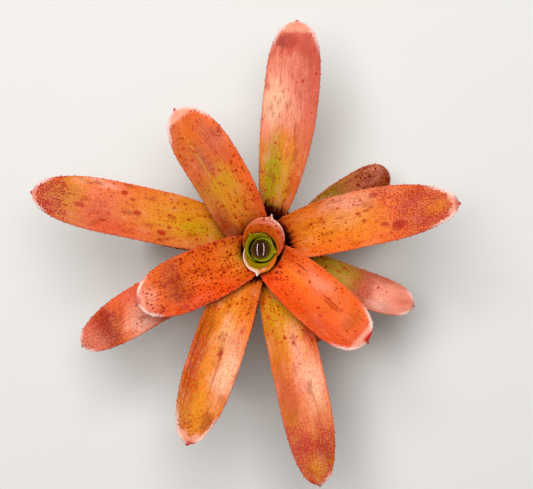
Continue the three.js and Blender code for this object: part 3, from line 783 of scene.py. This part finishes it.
# The upper leaves are the five youngest that have spread. The sun has turned them flame red, and each
# clasps the younger ones with a sheath that goes about half round the tank.
UPPER_LEAVES = [
    (dict(azimuth=204, reach=94, width=39, rise=26, fall=-4, widest=0.45, rounding=0.42, blunt=2.4), dict(
        along=[(0, "orange"), (0.14, "amber"), (0.3, "orange"), (0.54, "orange"), (0.66, "brown"),
               (0.78, "orange"), (0.87, "salmon"), (1, "peach")],
        left=("flame", 0.55), right=("orange", 0.4), streak=("flame", 0.2), bloom=("peach", 0.1),
        light_fleck=("amber", 0.4), dark_fleck=("flame", 0.4), dash=("maroon", 0.2), heart=-0.1, grains=-1,
        spot="spot", spots=(0.8, 0.55), cap=7.5, fold=20, lip=0.7, lip_side=-1,
        # The peach patch by the tip is partly pale colour and partly a painted highlight where the tip folds
        # down
        patches=[
            ("brown", 0.63, 0.2, 0.12, 0.8, 0.4), ("flame", 0.45, 0.7, 0.3, 0.4, 0.5),
            ("peach", 0.87, -0.1, 0.08, 0.7, 0.5), ("amber", 0.2, -0.4, 0.16, 0.5, 0.6),
            ("lime", 0.05, -0.1, 0.08, 0.5, 0.7), ("brown", 0.15, 0.8, 0.15, 0.35, 0.4),
        ],
    )),
    (dict(azimuth=319, reach=99, width=38, rise=26, fall=-4, neck=0.75, blunt=2.8), dict(
        along=[(0, "orange"), (0.08, "coral"), (0.5, "coral"), (0.62, "orange"), (0.8, "coral"),
               (1, "rose")],
        left=("coral", 0.4), right=("flame", 0.75), streak=("amber", 0.25), flush=("flame", 0.5),
        bloom=("peach", 0.1), light_fleck=("amber", 0.35), dark_fleck=("flame", 0.35), dash=("maroon", 0.12),
        heart=-0.1, grains=-1, spots=(1, 0.12), spread=0.4, cap=10, fold=20, lip=1, lip_length=6.5,
        lip_side=1,
        # The peach patch is a painted highlight
        patches=[
            ("brown", 0.79, 0.2, 0.06, 0.8, 0.5), ("amber", 0.3, 0.15, 0.2, 0.35, 0.4),
            ("flame", 0.66, -0.5, 0.16, 0.5, 0.5), ("crimson", 0.6, 0.25, 0.12, 0.04, 0.7),
            ("crimson", 0.61, 0.15, 0.1, 0.04, 0.6), ("maroon", 0.26, 0.55, 0.07, 0.04, 0.7),
            ("maroon", 0.09, -0.02, 0.03, 0.07, 0.9), ("maroon", 0.12, -0.3, 0.02, 0.08, 0.9),
            ("maroon", 0.15, -0.15, 0.02, 0.05, 0.8), ("maroon", 0.17, -0.5, 0.02, 0.06, 0.8),
            ("peach", 0.45, 0.5, 0.2, 0.4, 0.45), ("brown", 0.55, -0.7, 0.3, 0.4, 0.3),
            ("brown", 0.12, 0.7, 0.15, 0.4, 0.4),
        ],
    )),
    (dict(azimuth=121, reach=114, width=38, rise=24, fall=-4, turn=-9, sweep=17), dict(
        along=[(0, "orange"), (0.18, "amber"), (0.45, "gold"), (0.6, "orange"), (0.9, "orange"),
               (1, "rose")],
        left=("clay", 0.5), right=("coral", 0.9), streak=("clay", 0.2), flush=("brown", 0.2),
        bloom=("peach", 0.15), light_fleck=("salmon", 0.35), dark_fleck=("flame", 0.3), heart=-0.1,
        grains=-0.3, clear=("gold", 0.15), spots=(0.5, 0.2), end=("rose", 0.1), cap=10, fold=20, lip=0.3,
        lip_side=1, spine=("cherry", 1),
        patches=[
            ("maroon", 0.18, 0.75, 0.18, 0.4, 0.6), ("clay", 0.63, 0.25, 0.16, 0.4, 0.85),
            ("rose", 0.7, -0.5, 0.18, 0.5, 0.85), ("gold", 0.4, -0.15, 0.2, 0.3, 0.7),
            ("amber", 0.3, 0, 0.18, 0.4, 0.5), ("gold", 0.5, 0.32, 0.5, 0.035, 0.6),
        ],
    )),
    (dict(azimuth=237, reach=144, width=36, rise=20, fall=-6, turn=14, sweep=1.5, neck=0.7, rounding=0.42,
          blunt=2.4), dict(
        along=[(0, "orange"), (0.18, "amber"), (0.45, "amber"), (0.6, "amber"), (0.92, "amber"),
               (1, "salmon")],
        left=("coral", 0.5), right=("brown", 0.75), streak=("salmon", 0.3), bloom=("peach", 0.35),
        light_fleck=("gold", 0.6), heart=0.08, ripe=0.76, mottle=("brown", 0.95), clear=("gold", 0.3),
        spots=(0.55, 0), spread=0.5, cap=12, fold=6, pale=0.7, lip=0.8, lip_side=1, spine=("cherry", 1),
        # The peach and cream patches are painted highlights
        patches=[
            ("peach", 0.58, 0.6, 0.25, 0.6, 0.9), ("cream", 0.6, 0.6, 0.12, 0.5, 0.7),
            ("amber", 0.38, 0, 0.14, 0.4, 0.5), ("flame", 0.62, -0.7, 0.2, 0.4, 0.8),
            ("brown", 0.85, 0.6, 0.05, 0.3, 0.5), ("brown", 0.6, -0.65, 0.25, 0.35, 0.65),
            ("brown", 0.2, 0.8, 0.15, 0.4, 0.4), ("cream", 0.42, 0.1, 0.14, 0.4, 0.45),
            ("maroon", 0.55, -0.85, 0.25, 0.05, 0.45), ("maroon", 0.7, -0.7, 0.15, 0.04, 0.4),
            ("crimson", 0.6, 0.2, 0.16, 0.05, 0.4), ("crimson", 0.52, 0.15, 0.02, 0.1, 0.7),
        ],
    )),
    (dict(azimuth=21.5, reach=142, width=38.5, rise=18, fall=-6, turn=-3, sweep=-13, neck=0.72, widest=0.42,
          rounding=0.45, blunt=2.2), dict(
        # The maroon at the base is painted shade where the leaf goes down into the tank
        along=[(0, "maroon"), (0.08, "orange"), (0.15, "amber"), (0.5, "amber"), (0.65, "coral"),
               (0.76, "salmon"), (0.86, "rose"), (1, "rose")],
        left=("orange", 0.5), right=("coral", 0.7), streak=("amber", 0.25), heart=0.06, ripe=0.55,
        grains=0.65, mottle=("crimson", 0.7), clear=("amber", 0.5), spots=(0.3, 0), end=("rose", 0.1),
        cap=11, fold=5, lip=0.6, spine=("cherry", 1),
        # The peach and cream patches are painted highlights
        patches=[
            ("peach", 0.46, 0.75, 0.22, 0.5, 0.85), ("cream", 0.4, 0.1, 0.14, 0.4, 0.3),
            ("crimson", 0.76, 0.55, 0.1, 0.5, 0.4), ("amber", 0.3, 0, 0.2, 0.5, 0.5),
            ("crimson", 0.57, 0.75, 0.026, 0.12, 0.6), ("crimson", 0.6, -0.35, 0.022, 0.1, 0.75),
            ("crimson", 0.67, -0.45, 0.04, 0.16, 0.75), ("crimson", 0.5, -0.1, 0.014, 0.08, 0.7),
            ("crimson", 0.52, 0.25, 0.02, 0.06, 0.6), ("maroon", 0.8, 0.6, 0.09, 0.35, 0.65),
            ("rose", 0.8, -0.8, 0.25, 0.6, 0.9), ("salmon", 0.62, 0.85, 0.16, 0.3, 0.8),
            ("rose", 0.78, 0.2, 0.16, 0.9, 0.8), ("amber", 0.87, 0.0, 0.1, 0.45, 0.85),
            ("flame", 0.6, -0.85, 0.1, 0.3, 0.6),
        ],
    )),
]
grow("upper_leaf", len(CUP_LEAVES), UPPER_LEAVES, {}, {})

# The middle leaves are the three longest, spread almost level, paler with age and mottled towards the tip.
MIDDLE_LEAVES = [
    (dict(azimuth=155, reach=164, width=36.5, rise=14, fall=-8, turn=11, sweep=4, neck=0.52, widest=0.42,
          rounding=0.38, blunt=2.8), dict(
        along=[(0, "orange"), (0.12, "gold"), (0.34, "gold"), (0.5, "amber"), (0.64, "salmon"),
               (0.76, "salmon"), (1, "rose")],
        left=("rose", 0.6), right=("coral", 0.4), streak=("amber", 0.3), flush=("brown", 0.7),
        dash=("maroon", 0.2), heart=0.04, ripe=0.8, grains=1.1, mottle=("spot", 0.8), clear=("gold", 0.8),
        spots=(0.35, 0.05), cap=7, lip=0.4, spine=("cherry", 1),
        # The peach patch along the right edge is a painted highlight
        patches=[
            ("gold", 0.24, 0.1, 0.16, 0.6, 0.7), ("lime", 0.24, 0.1, 0.1, 0.4, 0.65),
            ("ember", 0.4, 0.55, 0.024, 0.12, 0.95), ("ember", 0.52, 0.0, 0.02, 0.11, 0.95),
            ("ember", 0.59, -0.65, 0.02, 0.1, 0.9), ("ember", 0.37, 0.3, 0.014, 0.08, 0.8),
            ("ember", 0.55, -0.45, 0.014, 0.08, 0.8), ("flame", 0.6, 0.7, 0.2, 0.4, 0.5),
            ("rose", 0.69, 0.15, 0.06, 0.4, 0.8), ("peach", 0.7, -0.85, 0.12, 0.3, 0.95),
            ("crimson", 0.77, 0.12, 0.03, 0.12, 0.65), ("rose", 0.87, 0.6, 0.14, 0.7, 0.8),
            ("olive", 0.84, -0.2, 0.1, 0.7, 0.5), ("brown", 0.6, 0.3, 0.2, 0.9, 0.2),
        ],
    )),
    (dict(azimuth=292.5, reach=169.5, width=34.5, rise=12, fall=-8, turn=-6, sweep=-7.5, neck=0.68,
          rounding=0.4, blunt=2.8), dict(
        along=[(0, "olive"), (0.12, "gold"), (0.3, "gold"), (0.45, "amber"), (0.58, "salmon"),
               (0.7, "salmon"), (0.8, "rose"), (1, "rose")],
        left=("coral", 0.4), right=("brown", 0.4), streak=("salmon", 0.35), bloom=("peach", 0.25),
        light_fleck=("amber", 0.5), dark_fleck=("flame", 0.7), dash=("rose", 0.45), heart=0.04, ripe=0.66,
        grains=0.7, mottle=("crimson", 0.55), clear=("gold", 0.4), spots=(0.6, 0), spread=0.45, cap=5,
        fold=3, pale=0.7, cap_side=1, lip=0.3,
        # The peach and cream patches are painted highlights
        patches=[
            ("brown", 0.3, 0.8, 0.12, 0.4, 0.8), ("ember", 0.37, 0.8, 0.12, 0.35, 0.7),
            ("peach", 0.56, 0.5, 0.2, 0.7, 0.9), ("cream", 0.56, 0.5, 0.12, 0.5, 0.7),
            ("peach", 0.48, 0.1, 0.16, 0.4, 0.6), ("peach", 0.38, 0.1, 0.14, 0.4, 0.7),
            ("lime", 0.2, -0.3, 0.1, 0.5, 0.5), ("gold", 0.2, 0, 0.14, 1, 0.5),
            ("brown", 0.62, -0.6, 0.25, 0.5, 0.5), ("maroon", 0.84, 0.6, 0.13, 0.6, 0.7),
            ("rose", 0.74, 0.5, 0.1, 0.5, 0.7), ("gold", 0.91, 0.05, 0.08, 0.6, 0.9),
        ],
    )),
    (dict(azimuth=72, reach=162, width=37.8, rise=12, fall=-10, turn=6, sweep=9, neck=0.36, widest=0.6,
          rounding=0.34, blunt=3.4), dict(
        # The maroon at the base is painted shade where the leaf goes down into the tank
        along=[(0, "maroon"), (0.06, "gold"), (0.26, "gold"), (0.4, "amber"), (0.52, "salmon"),
               (0.62, "pink"), (0.8, "pink"), (0.87, "rose"), (1, "pink")],
        left=("salmon", 0.2), right=("rose", 0.55), streak=("rose", 0.4), bloom=("peach", 0.3),
        light_fleck=("amber", 0.3), dark_fleck=("rose", 0.4), dash=("rose", 0.8), grains=-1,
        spots=(0.3, 0.02), spread=0.5, end=("rose", 0.2), cap=11, fold=8, pale=0.65, lip=0.2,
        # The peach and cream patches are painted highlights, and the maroon and rose bands just behind the
        # tip are painted shade where it arches down
        patches=[
            ("gold", 0.2, 0.1, 0.16, 0.9, 0.8), ("lime", 0.28, 0.45, 0.22, 0.5, 1),
            ("orange", 0.22, -0.8, 0.18, 0.45, 0.8), ("peach", 0.6, 0.6, 0.2, 0.7, 0.9),
            ("cream", 0.6, 0.6, 0.12, 0.5, 0.6), ("peach", 0.56, -0.1, 0.12, 0.4, 0.5),
            ("crimson", 0.66, -0.4, 0.2, 0.09, 0.4), ("rose", 0.72, -0.2, 0.2, 0.14, 0.5),
            ("maroon", 0.885, 0.4, 0.035, 0.6, 0.65), ("rose", 0.88, -0.2, 0.05, 0.8, 0.6),
            ("rose", 0.8, -0.8, 0.25, 0.6, 0.95), ("rose", 0.82, 0.1, 0.12, 1.2, 0.35),
        ],
    )),
]
grow("middle_leaf", len(CUP_LEAVES + UPPER_LEAVES), MIDDLE_LEAVES, {}, {})

# The lower leaves are the oldest seven and hang lowest, under the others. Their dull olive and mauve is
# partly their own colour and partly painted shade from the leaves above.
LOWER_LOOK = dict(
    along=[(0, "olive"), (0.35, "olive"), (0.6, "brown"), (0.9, "rose")],
    left=("olive", 0.3), right=("olive", 0.3), streak=("gold", 0.3), light_fleck=("gold", 0.6),
    dark_fleck=("brown", 0.65), clear=("gold", 0.4), spots=(0.5, 0.4), end=("rose", 0.3),
)
LOWER_LEAVES = [
    (dict(azimuth=203, reach=144, width=32, rise=4, fall=-18, sweep=13, neck=0.7, widest=0.45,
          rounding=0.42), dict(
        along=[(0, "olive"), (0.4, "orange"), (0.6, "salmon"), (0.7, "orange"), (0.8, "clay"),
               (0.88, "salmon"), (1, "pink")],
        left=("coral", 0.3), right=("flame", 0.5), streak=("salmon", 0.3), light_fleck=("salmon", 0.6),
        dark_fleck=("flame", 0.65), ripe=0.66, grains=0.7, mottle=("spot", 0.75), clear=("amber", 0.2),
        spots=(0.5, 0), end=("pink", 0.3), cap=5, fold=3, lip=0.2,
        # The peach and blush patches are painted highlights
        patches=[
            ("peach", 0.62, 0.5, 0.12, 0.9, 1), ("maroon", 0.8, -0.2, 0.1, 1.5, 0.7),
            ("blush", 0.62, 0.6, 0.1, 0.5, 0.3),
        ],
    )),
    (dict(azimuth=338.5, reach=117, width=25, rise=0, fall=-22, sweep=3, neck=1, widest=0.4,
          rounding=0.34), dict(
        along=[(0, "olive"), (0.3, "gold"), (0.5, "brown"), (0.6, "rose"), (0.67, "shell"), (1, "shell")],
        streak=("peach", 0.2), flush=("brown", 0.2), light_fleck=("salmon", 0.6), dark_fleck=("rose", 0.4),
        dash=("maroon", 0.1), grains=-0.5, clear=("gold", 0), spots=(0.5, 0), end=("rose", 0), cap=6, fold=3,
        lip=0.3, spine=("cherry", 1),
        patches=[
            ("lime", 0.25, 0, 0.35, 3, 0.75), ("rose", 0.56, 0, 0.08, 2, 0.6),
            ("shell", 0.85, 0, 0.26, 2, 1), ("peach", 0.72, -0.3, 0.1, 0.6, 0.7),
            ("clay", 0.66, 0.95, 0.24, 0.4, 0.8), ("blush", 0.72, -0.6, 0.12, 0.4, 0.3),
            ("salmon", 0.87, 0.1, 0.08, 0.5, 0.6),
        ],
    )),
    (dict(azimuth=122, reach=90, width=27, rise=-6, fall=-44), dict()),
    (dict(azimuth=250, reach=95, width=27, rise=-8, fall=-48), dict()),
    (dict(azimuth=31, reach=108, width=25.5, rise=-6, fall=-34, neck=0.42, sweep=2), dict(
        along=[(0, "olive"), (0.45, "olive"), (0.6, "clay"), (0.8, "clay"), (0.9, "mauve"), (1, "mauve")],
        light_fleck=("clay", 0.6), dark_fleck=("maroon", 0.6), clear=("gold", 0.1), spot="maroon",
        end=("rose", 0), cap=3, fold=2, pale=0.5, lip=0.2,
        patches=[
            ("maroon", 0.78, 0.15, 0.06, 0.3, 0.7), ("mauve", 0.75, 0, 0.2, 2, 0.5),
            ("wine", 0.88, -0.7, 0.2, 0.8, 0.9), ("pink", 0.86, 0.8, 0.12, 0.45, 0.6),
        ],
    )),
    (dict(azimuth=167, reach=84, width=26, rise=-20, fall=-66), dict()),
    (dict(azimuth=302, reach=79, width=26, rise=-32, fall=-60, neck=0.85), dict()),
]
grow("lower_leaf", len(CUP_LEAVES + UPPER_LEAVES + MIDDLE_LEAVES), LOWER_LEAVES, {}, LOWER_LOOK)

# The studio is a plain pale sweep of paper under the plant, lit softly from above. Two narrow strip lights
# beside the lens, one at each hand, draw the pair of bright lines on the water and the sheen on the wax.
FLOOR_HALF_SIZE = 6
LEAF_PLANE = 0.08
CAMERA_ABOVE_LEAVES = 1.5
PIXEL = 0.7 * MM
IMAGE_WIDTH = 533
AXIS_FROM_IMAGE_CENTRE = (-6 * PIXEL, -5 * PIXEL)
SENSOR_WIDTH = 36

bm = bmesh.new()
bmesh.ops.create_grid(bm, x_segments=1, y_segments=1, size=FLOOR_HALF_SIZE)
floor_mesh = bpy.data.meshes.new("paper_floor")
bm.to_mesh(floor_mesh)
bm.free()
paper, _, paper_shader = new_material("matt_white_paper", Roughness=0.9)
paper_shader.inputs["Base Color"].default_value = linear("#e9e7e3")
floor_mesh.materials.append(paper)
floor = bpy.data.objects.new("paper_floor", floor_mesh)
bpy.context.scene.collection.objects.link(floor)


def softbox(name, place, size, power, lights):
    """An area light that faces the plant's heart and lights only what is glossy or only what is matt."""
    light = bpy.data.lights.new(name, "AREA")
    light.shape = "RECTANGLE"
    light.size, light.size_y = size
    light.energy = power
    lamp = bpy.data.objects.new(name, light)
    lamp.location = place
    lamp.visible_glossy = lights == "gloss"
    lamp.visible_diffuse = lights == "matt"
    lamp.rotation_euler = (Vector((0, 0, LEAF_PLANE)) - Vector(place)).to_track_quat("-Z", "Y").to_euler()
    bpy.context.scene.collection.objects.link(lamp)


for name, x in (("strip_left", -0.42), ("strip_right", 0.42)):
    softbox(name, place=(x, 0, 1.5), size=(2, 0.05), power=17, lights="gloss")
softbox("key_above", place=(-0.2, 0.6, 1.8), size=(1.3, 1.3), power=38, lights="matt")

world = bpy.data.worlds.new("soft_room")
world.use_nodes = True
room = world.node_tree.nodes["Background"]
room.inputs["Color"].default_value = linear("#f4f4f6")
room.inputs["Strength"].default_value = 0.2
bpy.context.scene.world = world
bpy.context.scene.view_settings.view_transform = "Standard"

camera_data = bpy.data.cameras.new("camera")
camera_data.sensor_width = SENSOR_WIDTH
camera_data.lens = SENSOR_WIDTH * CAMERA_ABOVE_LEAVES / (IMAGE_WIDTH * PIXEL)
camera = bpy.data.objects.new("camera", camera_data)
camera.location = (-AXIS_FROM_IMAGE_CENTRE[0], -AXIS_FROM_IMAGE_CENTRE[1], LEAF_PLANE + CAMERA_ABOVE_LEAVES)
bpy.context.scene.collection.objects.link(camera)
bpy.context.scene.camera = camera
